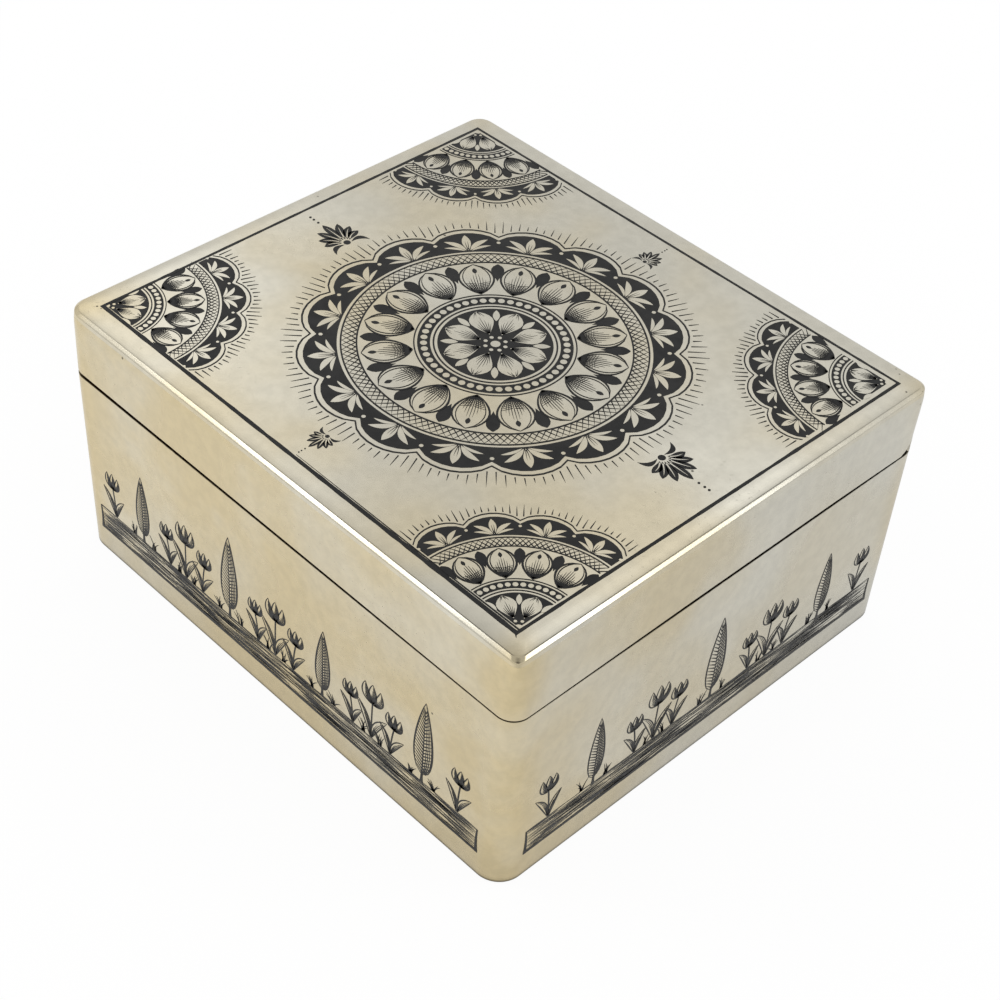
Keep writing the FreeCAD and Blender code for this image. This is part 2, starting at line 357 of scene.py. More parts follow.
class Engraving:
    """Strips cut into one flat face. A strip lies between a left and a right edge, and its section is a
    three-cornered groove filled level: two corners on the face and one below the middle."""

    def __init__(self, origin, across, up, level):
        self.origin = np.array(origin, dtype=float)
        self.across = np.array(across, dtype=float)
        self.up = np.array(up, dtype=float)
        self.out = np.cross(self.across, self.up)
        self.level = level
        self.strips = []

    def fill(self, left, right):
        """Strips between edges of shape (count, points, 2)."""
        self.strips.append(np.stack([left, right, (left + right) / 2], axis=2))

    def cut(self, line, half_width):
        """Strips along centre lines of shape (count, points, 2): each point moved sideways by its half
        width."""
        along = np.gradient(line, axis=1)
        along /= np.linalg.norm(along, axis=2, keepdims=True) + TINY
        side = np.stack([-along[..., 1], along[..., 0]], axis=2)
        side = side * np.broadcast_to(half_width, line.shape[:2])[..., None]
        self.fill(line + side, line - side)

    def piece(self, name, material, body, slot):
        """One mesh of all strips; strips that follow each other lie at slightly different levels."""
        points = []
        quads = []
        ends = []
        base = 0
        for index, strip in enumerate(self.strips):
            count, length = strip.shape[:2]
            level = self.level + LIFT * (index % LIFTS)
            height = np.array([level, level, -CUT_DEPTH])[:, None]
            flat = strip[..., 0:1] * self.across + strip[..., 1:2] * self.up
            points.append((self.origin + flat + height * self.out).reshape(-1, 3))
            first = base + 3 * (np.arange(count)[:, None] * length + np.arange(length)[None, :])
            here = first[:, :-1].ravel()
            there = first[:, 1:].ravel()
            for a, b in ((0, 1), (1, 2), (2, 0)):
                quads.append(np.column_stack([here + a, here + b, there + b, there + a]))
            start = first[:, 0]
            stop = first[:, -1]
            ends.append(np.column_stack([start, start + 2, start + 1]))
            ends.append(np.column_stack([stop, stop + 1, stop + 2]))
            base += 3 * count * length
        return make_piece(name, np.concatenate(points), [np.concatenate(quads), np.concatenate(ends)],
                          material, body, smooth=False)


class Leaves:
    """A family of leaf shapes: a middle line from base to tip, bowed by sag, and a half width that follows
    the sine of the way along, raised to a fullness that moves the widest place."""

    def __init__(self, base, tip, half_width, sag=0.0, fullness=1.0, blunt=0.8):
        self.base = np.asarray(base, dtype=float).reshape(-1, 2)
        self.tip = np.asarray(tip, dtype=float).reshape(-1, 2)
        count = len(self.base)
        self.half_width = np.broadcast_to(half_width, (count,))
        self.sag = np.broadcast_to(sag, (count,))
        self.fullness = fullness
        self.blunt = blunt

    def at(self, along, across):
        """Points at shares along (0 base, 1 tip) and across (-1 to 1): arrays (lines, points) for every
        leaf."""
        along = np.asarray(along, dtype=float)[None, :, :, None]
        across = np.asarray(across, dtype=float)[None, :, :, None]
        axis = (self.tip - self.base)[:, None, None, :]
        length = np.linalg.norm(axis, axis=3, keepdims=True)
        side = np.stack([-axis[..., 1], axis[..., 0]], axis=3) / length
        width = np.sin(math.pi * np.clip(along, *LEAF_ENDS) ** self.fullness) ** self.blunt
        offset = across * width * self.half_width[:, None, None, None]
        offset = offset + 4 * along * (1 - along) * self.sag[:, None, None, None]
        points = self.base[:, None, None, :] + axis * along + side * offset
        return points.reshape(-1, points.shape[2], 2)

    def fill(self, engraving, points=9):
        """Whole leaves."""
        along = np.linspace(*FILL_ENDS, points)[None, :]
        edge = np.ones_like(along)
        engraving.fill(self.at(along, edge), self.at(along, -edge))

    def edge(self, engraving, half_width, points=11, size=1.0):
        """Both edges as lines that swell in the middle."""
        along = np.tile(np.linspace(0, 1, points), (2, 1))
        across = np.array([[size], [-size]]) + 0 * along
        engraving.cut(self.at(along, across), half_width * swelling(points))

    def veins(self, engraving, half_width, across, start, stop, points=6):
        """Lines that follow the leaf's own shape from start to stop, thinning out."""
        share = np.linspace(0, 1, points)[None, :]
        start = np.broadcast_to(start, np.shape(across))[:, None]
        stop = np.broadcast_to(stop, np.shape(across))[:, None]
        along = start + (stop - start) * share
        engraving.cut(self.at(along, np.asarray(across)[:, None] + 0 * along), half_width * fading(points))

    def ribs(self, engraving, half_width, along, rise, inner=0.08, outer=0.9, points=4):
        """Short lines from the middle to the edges, leaning towards the tip."""
        share = np.linspace(0, 1, points)[None, :]
        along = np.concatenate([along, along])[:, None]
        sign = np.where(np.arange(len(along)) < len(along) // 2, 1, -1)[:, None]
        engraving.cut(self.at(along + rise * share, sign * (inner + (outer - inner) * share)),
                      half_width * fading(points))


def swelling(points):
    """Line weight that is thin at both ends: the root of a half sine."""
    return np.sin(math.pi * np.linspace(*SWELL_ENDS, points)) ** SWELL_POWER


def fading(points):
    """Line weight that falls from full to nearly nothing."""
    return (1 - np.linspace(0, FADE_END, points)) ** FADE_POWER


def polar(centre, radius, angle):
    """Points at a radius and angle round a centre."""
    return np.asarray(centre) + np.stack([radius * np.cos(angle), radius * np.sin(angle)], axis=-1)


def beads(engraving, centres, radius, points=7):
    """Round dots: strips between the two halves of a circle."""
    angle = np.linspace(BEAD_END, math.pi - BEAD_END, points)
    x = -radius * np.cos(angle)
    y = radius * np.sin(angle)
    centres = np.asarray(centres, dtype=float).reshape(-1, 1, 2)
    engraving.fill(centres + np.stack([x, y], axis=1), centres + np.stack([x, -y], axis=1))


LOBES = 16
LOBE = TURN / LOBES
LOBE_POINTS = 8

# Where the medallion's rings and leaves start and end, in millimetres before it is scaled
ROSETTE_DISC = (0.7, 8.1)
ROSETTE_LINE = (8.5, 8.75)
ROSETTE_PETAL = (2.2, 7.7)
ROSETTE_LEAF = (5.2, 7.7)
BEAD_BAND = (9.1, 10.9)
BEAD_PLACE = 10.0
BEAD_LINE = (11.25, 11.45)
LOTUS_PETAL = (11.6, 18.8)
LOTUS_DROP = (16.6, 17.9)
LOTUS_DART = (14.6, 18.9)
NET_INNER_LINE = (19.15, 19.4)
NET_OUTER_LINE = (21.35, 21.6)
NET_TURN = 0.075  # an angle
NET_HALF_WIDTH = 0.085  # not scaled
PALMETTE_BAND = 22.0
PALMETTE_LEAF = (22.4, 26.2)
PALMETTE_WING = (22.4, 25.0)
PALMETTE_CURL = (22.3, 23.5)
PALMETTE_BEAD = 24.3
SCALLOP = 24.9
SCALLOP_RISE = 1.9
SCALLOP_POWER = 0.7  # makes the scallops blunt
SCALLOP_LINE = (0.7, 0.98)
RAY_GAP = 1.4
RAY_LENGTH = 0.9
RAY_IN_NOTCH = 2.3  # how much longer a ray is between two scallops
RAY_SECOND = 0.5  # and every second one


class Medallion:
    """Rings about a centre. A sweep of a quarter turn gives a corner piece; grow scales every radius."""

    def __init__(self, arts, centre, grow, start, sweep):
        self.ground, self.reserve, self.line = arts
        self.centre = centre
        self.grow = grow
        self.start = start
        self.count = round(sweep / LOBE)
        whole = self.count == LOBES
        self.mid = start + (np.arange(self.count) + 0.5) * LOBE
        self.between = start + np.arange(self.count if whole else self.count + 1) * LOBE
        self.pairs = start + (np.arange(self.count // 2) + 0.5) * 2 * LOBE
        self.gaps = start + np.arange(self.count // 2 if whole else self.count // 2 + 1) * 2 * LOBE
        self.arc = start + np.linspace(0, sweep, LOBE_POINTS * self.count + 1)

    def at(self, radius, angle):
        """Points at a radius, which grows with the medallion, and an angle."""
        return polar(self.centre, radius * self.grow, angle)

    def swing(self, angle):
        """Share of a scallop's rise at an angle: a half sine over each lobe, made blunt by a power."""
        return np.abs(np.sin((angle - self.start) * LOBES / 2)) ** SCALLOP_POWER

    def many(self, per_lobe):
        """Angles of evenly spaced marks, so many to a lobe."""
        return self.start + (np.arange(per_lobe * self.count) + 0.5) * LOBE / per_lobe

    def ring(self, art, inner, outer):
        """Band between two radii, which may change along the arc."""
        art.fill(self.at(inner, self.arc)[None], self.at(outer, self.arc)[None])

    def leaves(self, angle, inner, outer, half_width, twist=0.0, **shape):
        """Leaves that point away from the centre, turned by twist."""
        foot = self.at(inner, angle)
        return Leaves(foot, self.at(outer, angle + twist), half_width * self.grow, **shape)

    def dots(self, art, radius, angle, size):
        """Beads at one radius."""
        beads(art, self.at(radius, angle), size * self.grow)

    def strokes(self, art, angle, inner, outer, turn, half_width):
        """Short strokes from one radius to another that turn a little on the way."""
        share = np.linspace(0, 1, 4)
        inner = np.broadcast_to(inner, angle.shape)[:, None]
        outer = np.broadcast_to(outer, angle.shape)[:, None]
        radius = inner + (outer - inner) * share
        art.cut(self.at(radius, angle[:, None] + turn * share), half_width * fading(len(share)))

    def rosette(self):
        """Eight broad petals and eight small ones left in a black disc."""
        self.ring(self.ground, *ROSETTE_DISC)
        self.ring(self.line, *ROSETTE_LINE)
        petals = self.leaves(self.pairs, *ROSETTE_PETAL, half_width=1.75, fullness=1.35)
        petals.fill(self.reserve)
        reach = [0.4, 0.5, 0.6, 0.75, 0.6, 0.5, 0.4]
        petals.veins(self.line, 0.09, across=np.linspace(-0.7, 0.7, 7), start=0.04, stop=reach)
        tips = [0.75, 0.8, 0.8, 0.75]
        petals.veins(self.line, 0.07, across=[-0.5, -0.25, 0.25, 0.5], start=0.97, stop=tips)
        self.leaves(self.gaps, *ROSETTE_LEAF, half_width=0.5).fill(self.reserve)
        self.dots(self.reserve, 1.5, self.pairs, size=0.3)

    def bead_ring(self):
        """Beads left in a black band."""
        self.ring(self.ground, *BEAD_BAND)
        self.dots(self.reserve, BEAD_PLACE, self.many(3), size=0.5)
        self.ring(self.line, *BEAD_LINE)

    def lotus(self):
        """Outlined petals, shaded from their feet, with black darts between them."""
        petals = self.leaves(self.mid, *LOTUS_PETAL, half_width=2.55, fullness=1.15, blunt=0.65)
        petals.edge(self.line, 0.17)
        petals.edge(self.line, 0.08, size=0.78)
        reach = [0.34, 0.46, 0.56, 0.66, 0.72, 0.66, 0.56, 0.46, 0.34]
        petals.veins(self.line, 0.10, across=np.linspace(-0.66, 0.66, 9), start=0.02, stop=reach)
        petals.ribs(self.line, 0.06, along=np.linspace(0.08, 0.34, 6), rise=0.05, outer=0.74)
        self.leaves(self.mid, *LOTUS_DROP, half_width=0.36).fill(self.ground)
        self.leaves(self.between, *LOTUS_DART, half_width=0.98, fullness=1.6).fill(self.ground)

    def net(self):
        """Band of crossing strokes between two pairs of lines."""
        self.ring(self.line, *NET_INNER_LINE)
        self.ring(self.line, *NET_OUTER_LINE)
        marks = self.many(8)
        for turn in (NET_TURN, -NET_TURN):
            self.strokes(self.line, marks, NET_INNER_LINE[1], NET_OUTER_LINE[0], turn, NET_HALF_WIDTH)

    def palmettes(self):
        """Silver palmettes in a black band with a scalloped outer edge."""
        scallop = SCALLOP + SCALLOP_RISE * self.swing(self.arc)
        self.ring(self.ground, PALMETTE_BAND, scallop)
        self.ring(self.line, scallop + SCALLOP_LINE[0], scallop + SCALLOP_LINE[1])
        middle = self.leaves(self.mid, *PALMETTE_LEAF, half_width=0.66, fullness=1.1)
        middle.fill(self.reserve)
        middle.veins(self.line, 0.08, across=[-0.3, 0.3], start=0.05, stop=0.6)
        for sign in (1, -1):
            wing = self.leaves(self.mid + sign * 0.012, *PALMETTE_WING, half_width=0.46,
                               twist=sign * 0.12, sag=-sign * 0.35 * self.grow)
            wing.fill(self.reserve)
            curl = self.leaves(self.mid + sign * 0.02, *PALMETTE_CURL, half_width=0.26,
                               twist=sign * 0.13, sag=-sign * 0.25 * self.grow)
            curl.fill(self.reserve)
        self.dots(self.reserve, PALMETTE_BEAD, self.between, size=0.3)

    def rays(self):
        """Strokes that follow the scallops, every second one longer."""
        angle = self.many(9)
        swing = self.swing(angle)
        foot = SCALLOP + SCALLOP_RISE * swing + RAY_GAP
        second = np.arange(len(angle)) % 2
        reach = foot + RAY_LENGTH + RAY_IN_NOTCH * (1 - swing) + RAY_SECOND * second
        self.strokes(self.line, angle, foot, reach, turn=0.0, half_width=0.10)

    def engrave(self):
        """All rings from the inside out."""
        self.rosette()
        self.bead_ring()
        self.lotus()
        self.net()
        self.palmettes()
        self.rays()


FAN_SPREAD = 1.2


def palmette(arts, foot, heading, size):
    """Fan of seven black leaves with a light vein, on a stem with two curls and three beads."""
    ground, reserve, line = arts
    foot = np.array(foot)
    spread = np.linspace(-FAN_SPREAD, FAN_SPREAD, 7)
    length = size * (1 - 0.38 * np.abs(spread) / FAN_SPREAD)
    start = polar(foot, 0.14 * size, heading + spread)
    tips = polar(foot, length, heading + spread)
    fan = Leaves(start, tips, 0.115 * size, sag=-0.05 * size * spread, fullness=1.3)
    fan.fill(ground)
    fan.veins(reserve, 0.11, across=[0.0], start=0.12, stop=0.8)
    for sign in (1, -1):
        root = polar(foot, 0.12 * size, heading + sign * 1.9)
        tip = polar(foot, 0.62 * size, heading + sign * 2.0)
        curl = Leaves(root, tip, 0.07 * size, sag=-sign * 0.14 * size)
        curl.fill(ground)
    beads(ground, polar(foot, 0.01, heading), 0.1 * size)
    beyond = size * np.array([1.16, 1.34, 1.48])
    beads(line, polar(foot, beyond, np.full(3, heading)), 0.035 * size)


MEDALLION_GROW = 1.10
QUARTER_GROW = 0.80
QUARTER_INSET = 1.0  # from the border's outer corner to the centre of a corner piece
# Palmettes on the lid: heading, distance from the middle, size
PALMETTES = ((0, 34.6, 6.2), (TURN / 4, 33.6, 3.6), (TURN / 2, 34.6, 6.2), (-TURN / 4, 33.6, 3.6))


def lid_engraving(silver, niello):
    """Medallion in the middle, a quarter of one in each corner, and palmettes on the two axes."""
    levels = (GROUND_LEVEL, RESERVE_LEVEL, LINE_LEVEL)
    arts = [Engraving((0, 0, LID_FLAT), (1, 0, 0), (0, 1, 0), level) for level in levels]
    low = BORDER_LOW[:2]
    high = BORDER_HIGH[:2]
    centre = (low + high) / 2
    Medallion(arts, centre, MEDALLION_GROW, 0, TURN).engrave()
    left, front = low + QUARTER_INSET
    right, back = high - QUARTER_INSET
    corners = [(left, front), (right, front), (right, back), (left, back)]
    for quarter, corner in enumerate(corners):
        Medallion(arts, np.array(corner), QUARTER_GROW, quarter * TURN / 4, TURN / 4).engrave()
    for heading, gap, size in PALMETTES:
        palmette(arts, polar(centre, gap, heading), heading, size)
    ground, reserve, line = arts
    ground.piece("lid_niello_grounds", niello, "lid", "niello")
    reserve.piece("lid_silver_reserves", silver, "lid", "silver")
    line.piece("lid_niello_lines", niello, "lid", "niello")


# The lid's border, cut by hand: its outer corners are a little out of square
BORDER_CORNERS = np.array([(-46.2, -40.15), (45.8, -40.6), (46.4, 40.8), (-46.8, 40.5)])
BORDER_HALF_WIDTHS = (0.35, 0.27, 0.23, 0.25)
BORDER_POINTS = 61
BORDER_UNEVEN = 0.10
BORDER_SEED = 7
# Two strokes at the near corner: points counted from it, and half widths
HAIRLINE = np.array([(-46.0, 1.15), (-20.0, 0.95), (-0.5, 1.0)])
HAIRLINE_HALF = np.array([0.02, 0.09, 0.13])
OVERSHOT = np.array([(-0.6, 0.5), (-0.1, 0.05), (0.3, -0.3)])
OVERSHOT_HALF = np.array([0.16, 0.12, 0.03])


def lid_border(niello):
    """Four long strokes with a slightly uneven width, a hairline inside the front one and an overshot
    corner."""
    art = Engraving((0, 0, LID_FLAT), (1, 0, 0), (0, 1, 0), LINE_LEVEL)
    rng = np.random.default_rng(BORDER_SEED)
    share = np.linspace(0, 1, BORDER_POINTS)[:, None]
    stops = np.roll(BORDER_CORNERS, -1, axis=0)
    for start, stop, half in zip(BORDER_CORNERS, stops, BORDER_HALF_WIDTHS):
        along = (stop - start) / np.linalg.norm(stop - start)
        inwards = np.array([-along[1], along[0]])
        path = start * (1 - share) + stop * share + inwards * half
        art.cut(path[None], half * (1 + BORDER_UNEVEN * rng.standard_normal(len(share)))[None])
    near = BORDER_CORNERS[1]
    art.cut((near + HAIRLINE)[None], HAIRLINE_HALF[None])
    art.cut((near + OVERSHOT)[None], OVERSHOT_HALF[None])
    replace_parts(art.piece("lid_border_line", niello, "lid", "niello"), "niello_lid_border")


# Sides of the body: which way each one faces, and its direction from left to right
SIDES = {
    "front": ((0, -1, 0), (1, 0, 0)),
    "right": ((1, 0, 0), (0, 1, 0)),
    "back": ((0, 1, 0), (-1, 0, 0)),
    "left": ((-1, 0, 0), (0, -1, 0)),
}
GROUND_LINE = 0.6  # thickness of the ground line
GROUND_POINTS = 91
FOOT_UNEVEN = 0.02
CREST_UNEVEN = 0.03
END_INSET = 0.3  # of the upturned ends, and how far they bow inwards
END_BOW = 0.12
END_HALF = 0.30  # their half width at the foot, and how much thinner they are above
END_TAPER = 0.16
HATCH_PITCH = 0.44
HATCH_HALF = 0.12
HATCH_LENGTH = 8.5
HATCH_SHORTEST = 1.5
HATCH_LAST = 2  # no stroke starts nearer than this to the right end
HATCH_DRIFT = 0.12  # how far a stroke may rise or fall
HATCH_POINTS = 5
HATCH_START = 0.2  # first row above the ground line
HATCH_INSET = 0.5
HATCH_TOP = 0.15  # last row below the top line
TOP_INSET = 0.4
TOP_POINTS = 41
TOP_UNEVEN = 0.04
TOP_HALF = 0.12
TOP_HALF_UNEVEN = 0.03
GARDEN_INSET = 1.0
BAY = 23  # about the width of a bay with one cypress
CYPRESS_HEIGHTS = (14.0, 17.0)
# Tulips between two bays: place, height and lean
TULIP_GROUP = ((0.0, 11.6, 0.2), (-4.1, 8.4, -0.6), (4.2, 9.0, 0.7))
END_TULIP = (3.6, 9.2, 0.4)  # the same for the one at each end, from that end
TUFT_BLADES = 7
TUFT_HALF = 0.4
BLADE_LEAN = 1.4
BLADE_HEIGHTS = (1.3, 3.0)


def ground_line(art, rng, half, low, high):
    """Ribbon with uneven edges along the foot of the side, and two upturned ends that are thicker below."""
    u = np.linspace(-half, half, GROUND_POINTS)
    foot = low + FOOT_UNEVEN * rng.standard_normal(len(u))
    crest = low + GROUND_LINE + CREST_UNEVEN * rng.standard_normal(len(u))
    art.fill(np.column_stack([u, crest])[None], np.column_stack([u, foot])[None])
    rise = np.linspace(0, 1, 9)
    for sign in (1, -1):
        lean = half - END_INSET - END_BOW * np.sin(math.pi * rise)
        line = np.column_stack([sign * lean, low + (high - low) * rise])
        art.cut(line[None], (END_HALF - END_TAPER * rise)[None])


def hatching(art, rng, half, low, high):
    """Rows of long tapered strokes: each row is divided into strokes of random length with short breaks."""
    rows = np.arange(low, high, HATCH_PITCH)
    count = round(2 * half / HATCH_LENGTH)
    cell = 2 * half / count
    shift = rng.uniform(-0.5, 0.5, (len(rows), count))
    start = -half + cell * (np.arange(count)[None, :] + shift)
    stop = start + cell * rng.uniform(0.9, 1.5, start.shape)
    start = np.clip(start, -half, half - HATCH_LAST)
    stop = np.clip(stop, start + HATCH_SHORTEST, half)
    share = np.linspace(0, 1, HATCH_POINTS)
    u = start[..., None] + (stop - start)[..., None] * share
    drift = rng.uniform(-HATCH_DRIFT, HATCH_DRIFT, start.shape)[..., None]
    v = rows[:, None, None] + drift * share + 0 * u
    weight = HATCH_HALF * rng.uniform(0.55, 1.25, start.shape)[..., None] * swelling(HATCH_POINTS)
    lines = np.stack([u, v], axis=-1).reshape(-1, HATCH_POINTS, 2)
    art.cut(lines, weight.reshape(-1, HATCH_POINTS))


def cypress(art, u, ground, height):
    """Flame-shaped tree: outline, a middle line, feathered strokes from it, close lines on the shaded side, a
    trunk. Its parts are shares of the height."""
    foot = (u, ground + 0.09 * height)
    tip = (u + 0.015 * height, ground + height)
    tree = Leaves(foot, tip, 0.115 * height, fullness=0.62, blunt=0.8)
    tree.edge(art, 0.16, points=15)
    tree.veins(art, 0.14, across=[0.0], start=0.0, stop=0.95, points=8)
    tree.ribs(art, 0.13, along=np.linspace(0.03, 0.86, 19), rise=0.075, inner=0.0, outer=0.95)
    shade = np.linspace(-0.9, -0.3, 4)
    tree.veins(art, 0.10, across=shade, start=0.03, stop=[0.97, 0.95, 0.9, 0.8], points=8)
    trunk = np.array([(u, ground + 0.14 * height), (u - 0.02, ground + 0.05 * height),
                      (u - 0.05, ground - 0.3)])
    art.cut(trunk[None], np.array([[0.22, 0.26, 0.4]]))


def tulip(art, u, ground, height, lean):
    """Bowed stem, two lance leaves and a cup of three hatched petals, all in shares of the height."""
    head = 0.36 * height
    neck = np.array([u + lean, ground + height - head])
    share = np.linspace(0, 1, 7)
    stem = np.column_stack([u + lean * share ** 1.8, ground + (height - head) * share])
    art.cut(stem[None], 0.15)
    left_tip = (u - 0.30 * height + lean / 2, ground + 0.58 * height)
    right_tip = (u + 0.28 * height + lean / 2, ground + 0.5 * height)
    blades = Leaves([(u - 0.1, ground), (u + 0.1, ground)], [left_tip, right_tip], 0.055 * height,
                    sag=[-0.06 * height, 0.06 * height])
    blades.edge(art, 0.12)
    blades.veins(art, 0.11, across=[-0.55, -0.15, 0.2], start=0.05, stop=[0.85, 0.9, 0.6])
    tips = neck + np.array([(-0.40, 0.92), (0.0, 1.0), (0.40, 0.92)]) * head
    bow = np.array([0.17, 0.0, -0.17]) * head
    cup = Leaves(np.tile(neck, (3, 1)), tips, 0.2 * head, sag=bow, fullness=0.8)
    cup.edge(art, 0.13)
    reach = [0.8, 0.9, 0.85, 0.7, 0.5, 0.4]
    cup.veins(art, 0.11, across=np.linspace(-0.75, 0.5, 6), start=0.04, stop=reach)


def grass(art, rng, places, ground):
    """Tufts of blades: each blade is a bowed line from the ground that thins to its tip."""
    foot = np.repeat(places, TUFT_BLADES) + rng.uniform(-TUFT_HALF, TUFT_HALF, TUFT_BLADES * len(places))
    lean = rng.uniform(-BLADE_LEAN, BLADE_LEAN, len(foot))
    tall = rng.uniform(*BLADE_HEIGHTS, len(foot))
    share = np.linspace(0, 1, 5)
    u = foot[:, None] + lean[:, None] * share ** 1.7
    v = ground + tall[:, None] * share * (1 - 0.12 * share)
    art.cut(np.dstack([u, v]), 0.15 * fading(len(share)))


def garden(art, rng, half, ground):
    """Frieze of cypresses with groups of three tulips between them and grass along the ground."""
    bays = round(2 * half / BAY)
    bay = 2 * half / bays
    trees = -half + bay * (np.arange(bays) + 0.5)
    for index, u in enumerate(trees):
        cypress(art, u, ground, CYPRESS_HEIGHTS[index % 2])
    beds = -half + bay * np.arange(1, bays)
    for u in beds:
        for place, height, lean in TULIP_GROUP:
            tulip(art, u + place, ground, height, lean)
    place, height, lean = END_TULIP
    for sign in (1, -1):
        tulip(art, sign * (half - place), ground, height, sign * lean)
    grass(art, rng, np.concatenate([trees - 2.4, trees + 2.6, beds + 1.9, beds - 1.7]), ground)


def side_engraving(name, niello, seed):
    """Everything that is cut into one side: ground line, hatched strip with a top line, and the garden on
    it."""
    facing, across = SIDES[name]
    node = f"niello_{name}"
    low, high = node_box(node)
    half = abs(np.dot(across, high - low)) / 2
    origin = np.array(facing) * (HALF_X - RECESS, HALF_Y - RECESS, 0)
    rng = np.random.default_rng(seed)
    levels = (LINE_LEVEL, GROUND_LEVEL, RESERVE_LEVEL)
    line, strip, plants = (Engraving(origin, across, (0, 0, 1), level) for level in levels)
    ground_line(line, rng, half, low[2], high[2])
    for start in (HATCH_START, HATCH_START + HATCH_PITCH / 2):
        hatching(strip, rng, half - HATCH_INSET, low[2] + GROUND_LINE + start, high[2] - HATCH_TOP)
    crest = np.linspace(-half + TOP_INSET, half - TOP_INSET, TOP_POINTS)
    wobble = high[2] + TOP_UNEVEN * rng.standard_normal(len(crest))
    weight = TOP_HALF + TOP_HALF_UNEVEN * rng.standard_normal(len(crest))
    strip.cut(np.column_stack([crest, wobble])[None], weight[None])
    garden(plants, rng, half - GARDEN_INSET, high[2])
    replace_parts(line.piece(f"{name}_ground_line", niello, "body", "niello"), node)
    strip.piece(f"{name}_hatching", niello, "body", "niello")
    plants.piece(f"{name}_garden", niello, "body", "niello")


# Materials

FLOAT = "NodeSocketFloat"
COLOR = "NodeSocketColor"
VECTOR = "NodeSocketVector"
PLACE_ONLY = {"Vector": (VECTOR, None)}

# Colours
SILVER_NEUTRAL = (0.735, 0.712, 0.622, 1)
SILVER_YELLOW = (0.735, 0.615, 0.375, 1)
SILVER_BLOOM = (0.860, 0.830, 0.720, 1)
SCRATCH_GREY = (0.45, 0.41, 0.32, 1)
PIT_BLACK = (0.03, 0.028, 0.022, 1)
# Brown of the painted shade lines, and of the darkening round the hinge axis
DARKENING_BROWN = (0.035, 0.030, 0.022, 1)
NIELLO_BLACK = (0.0065, 0.0065, 0.0060, 1)
NIELLO_RUBBED = (0.017, 0.0165, 0.0150, 1)
CEDAR_DARK = (0.275, 0.118, 0.050, 1)
CEDAR_LIGHT = (0.430, 0.215, 0.098, 1)
CEDAR_LATE = (0.190, 0.078, 0.032, 1)
CEDAR_PORE = (0.120, 0.050, 0.022, 1)
STEEL_DARK = (0.30, 0.295, 0.28, 1)
STEEL_LIGHT = (0.46, 0.455, 0.44, 1)
FLOOR_GREY = (0.9, 0.9, 0.9, 1)
WHITE = (1, 1, 1, 1)

# How high bumps stand, in metres
SILVER_WAVES = 0.00008
SILVER_GRAIN = 0.0000016
NIELLO_GRAIN = 0.000008
CEDAR_GRAIN = 0.00003
STEEL_GRAIN = 0.000006


def add(tree, kind, inputs=None, **settings):
    """One node; inputs maps its sockets to other sockets or to plain values."""
    node = tree.nodes.new(kind)
    for key, value in settings.items():
        setattr(node, key, value)
    for key, value in (inputs or {}).items():
        if isinstance(value, bpy.types.NodeSocket):
            tree.links.new(value, node.inputs[key])
        else:
            node.inputs[key].default_value = value
    return node


def calc(tree, operation, first, second=0.0):
    """Arithmetic on two values."""
    return add(tree, "ShaderNodeMath", {0: first, 1: second}, operation=operation).outputs[0]


def times(tree, first, second):
    """Product of two values."""
    return calc(tree, "MULTIPLY", first, second)


def plus(tree, first, second):
    """Sum of two values."""
    return calc(tree, "ADD", first, second)


def minus(tree, first, second):
    """First value less the second."""
    return calc(tree, "SUBTRACT", first, second)


def apart(tree, place):
    """Outputs X, Y and Z of a place."""
    return add(tree, "ShaderNodeSeparateXYZ", {0: place}).outputs


def from_spot(tree, place, spot):
    """Distance of a place from a spot, in metres."""
    return add(tree, "ShaderNodeVectorMath", {0: place, 1: spot}, operation="DISTANCE").outputs["Value"]


def used(tree, group, **inputs):
    """Outputs of a node group with these inputs."""
    return add(tree, "ShaderNodeGroup", inputs, node_tree=group).outputs


def blend(tree, share, first, second):
    """Mix of two colours."""
    return add(tree, "ShaderNodeMix", {0: share, 6: first, 7: second}, data_type="RGBA").outputs[2]


def ease(tree, value, low, high, to_low=0.0, to_high=1.0):
    """Value taken smoothly from the range low to high into another range."""
    inputs = {"Value": value, "From Min": low, "From Max": high, "To Min": to_low, "To Max": to_high}
    return add(tree, "ShaderNodeMapRange", inputs, interpolation_type="SMOOTHSTEP").outputs[0]


def noise(tree, place, scale, detail=3.0, roughness=0.55):
    """Noise between 0 and 1; scale counts features to a metre."""
    inputs = {"Vector": place, "Scale": scale, "Detail": detail, "Roughness": roughness}
    return add(tree, "ShaderNodeTexNoise", inputs).outputs[0]


def moved(tree, place, offset):
    """Place shifted by an offset in metres, so that two noises differ."""
    return add(tree, "ShaderNodeVectorMath", {0: place, 1: offset}, operation="ADD").outputs[0]


def mapped(tree, place, scale, turn=(0, 0, 0)):
    """Place turned and stretched."""
    return add(tree, "ShaderNodeMapping", {"Vector": place, "Rotation": turn, "Scale": scale}).outputs[0]


def bump(tree, height, distance, normal=None):
    """Normal from a height, whose full range stands for the distance in metres."""
    inputs = {"Height": height, "Distance": distance, "Strength": 1.0}
    if normal is not None:
        inputs["Normal"] = normal
    return add(tree, "ShaderNodeBump", inputs).outputs[0]


def new_group(name, inputs, outputs):
    """Node group with named sockets; returns the group, what it is given and where its results go."""
    group = bpy.data.node_groups.new(name, "ShaderNodeTree")
    for label, (kind, value) in inputs.items():
        socket = group.interface.new_socket(label, in_out="INPUT", socket_type=kind)
        if value is not None:
            socket.default_value = value
    for label, kind in outputs.items():
        group.interface.new_socket(label, in_out="OUTPUT", socket_type=kind)
    given = group.nodes.new("NodeGroupInput").outputs
    put = group.nodes.new("NodeGroupOutput").inputs
    return group, given, put


